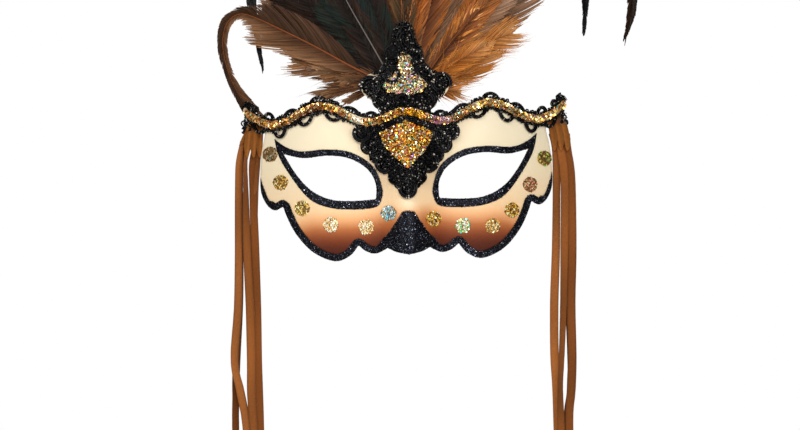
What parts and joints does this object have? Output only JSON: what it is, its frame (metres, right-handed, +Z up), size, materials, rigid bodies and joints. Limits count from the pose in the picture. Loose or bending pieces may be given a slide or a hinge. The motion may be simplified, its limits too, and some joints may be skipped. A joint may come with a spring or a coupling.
{
  "type": "venetian masquerade mask",
  "caption": "Half mask for a costume: a moulded, painted shell with eye openings, braid and sequin trim on the brow, a feather crest and suede ties that swing back from the temples.",
  "frame": {"origin": "inner face of the nose bridge at eye level, where the mask sits on the wearer's nose", "axes": "+Z up the wearer's face, +Y back towards the wearer's head, +X on the right of someone looking at the mask"},
  "size_m": [0.2345, 0.0902, 0.484],
  "materials": {
    "shell_paint": "satin paint, cream shading to copper and dark brown at the cheeks",
    "black_glitter": "black glitter with blue grey sparkle",
    "gold_glitter": "holographic gold glitter",
    "gold_sequins": "holographic copper gold sequins",
    "black_braid": "glossy black rayon cord",
    "felt": "felt",
    "feather_brown": "glossy barbs, brown with darker streaks",
    "feather_ginger": "soft fluffy barbs",
    "feather_black": "glossy barbs with a green sheen",
    "suede": "suede"
  },
  "bodies": {
    "root": {"mask_shell": "shell_paint", "left_eye_glitter": "black_glitter", "right_eye_glitter": "black_glitter", "lower_edge_glitter": "black_glitter", "left_dot_1": "gold_glitter", "left_dot_2": "gold_glitter", "left_dot_3": "gold_glitter", "left_dot_4": "gold_glitter", "left_dot_5": "gold_glitter", "left_dot_6": "gold_glitter", "right_dot_1": "gold_glitter", "right_dot_2": "gold_glitter", "right_dot_3": "gold_glitter", "right_dot_4": "gold_glitter", "right_dot_5": "gold_glitter", "right_dot_6": "gold_glitter", "brow_braid": "black_braid", "brow_sequins": "gold_sequins", "medallion_fabric": "gold_glitter", "medallion_braid": "black_braid", "crest_fabric": "gold_glitter", "crest_braid": "black_braid", "feather_felt": "felt", "left_low_tuft": "feather_brown", "left_chin_tuft": "feather_brown", "second_plume": "feather_brown", "left_coque": "feather_black", "dark_plume_left": "feather_black", "dark_plume_mid": "feather_black", "front_hackle": "feather_brown", "tall_hackle": "feather_brown", "amber_hackle": "feather_ginger", "right_low_tuft": "feather_ginger", "right_side_tuft": "feather_ginger", "right_fluff": "feather_ginger", "right_short_plume": "feather_brown", "right_long_plume": "feather_brown", "right_back_plume": "feather_brown", "right_black_coque": "feather_black", "right_brown_coque": "feather_brown", "back_plume": "feather_black", "curl_feather": "feather_brown", "left_tie_tab": "suede", "right_tie_tab": "suede"},
    "left_ties": {"left_tie_roll": "suede", "left_tie_1": "suede", "left_tie_2": "suede", "left_tie_3": "suede", "left_tie_4": "suede", "left_tie_5": "suede"},
    "right_ties": {"right_tie_roll": "suede", "right_tie_1": "suede", "right_tie_2": "suede", "right_tie_3": "suede", "right_tie_4": "suede", "right_tie_5": "suede"}
  },
  "joints": [
    {"name": "left_tie_swing", "type": "hinge", "parent": "root", "child": "left_ties", "pos_m": [-0.085, 0.06, 0.023], "axis": [1, 0, 0], "range_deg": [0, 90]},
    {"name": "right_tie_swing", "type": "hinge", "parent": "root", "child": "right_ties", "pos_m": [0.085, 0.06, 0.023], "axis": [1, 0, 0], "range_deg": [0, 90]}
  ]
}
